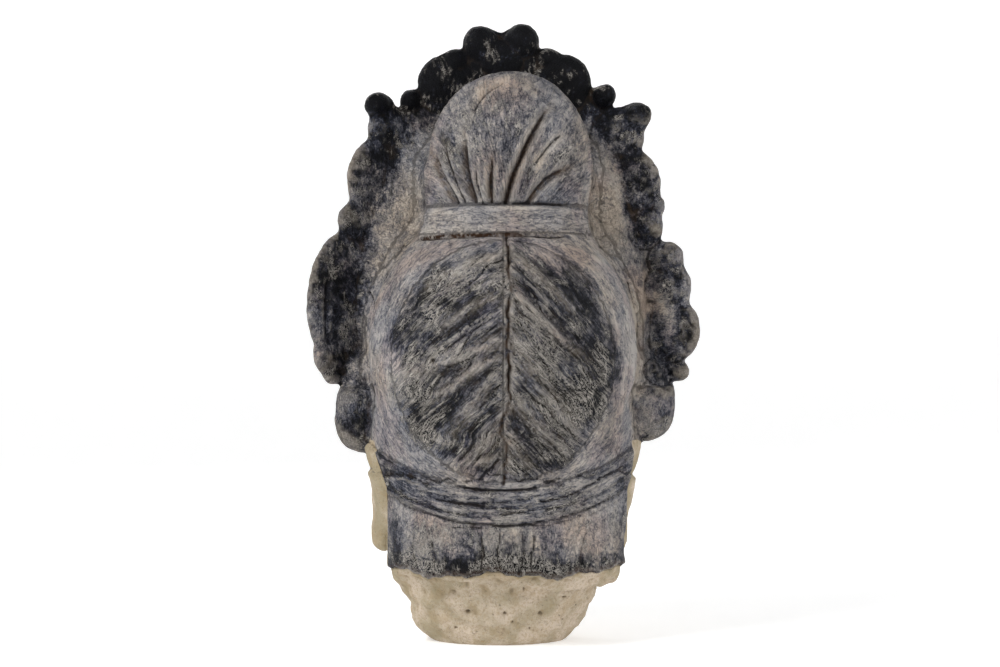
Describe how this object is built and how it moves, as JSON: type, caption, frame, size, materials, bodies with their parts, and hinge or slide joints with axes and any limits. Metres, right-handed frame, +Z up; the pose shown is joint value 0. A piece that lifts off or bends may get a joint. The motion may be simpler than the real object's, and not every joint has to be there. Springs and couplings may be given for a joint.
{
  "type": "buddha head sculpture",
  "caption": "Free-standing cast buddha head with a bound topknot, a scalloped crown and a bare neck cut off flat below.",
  "frame": {"origin": "on the flat underside of the neck, below the middle of the head", "axes": "+Z up, -Y the way the face looks, +X the head's left"},
  "size_m": [0.2845, 0.2308, 0.4497],
  "materials": {
    "painted_clay": "matt paint rubbed back to the clay"
  },
  "bodies": {
    "root": {"buddha_head": "painted_clay"}
  },
  "joints": []
}
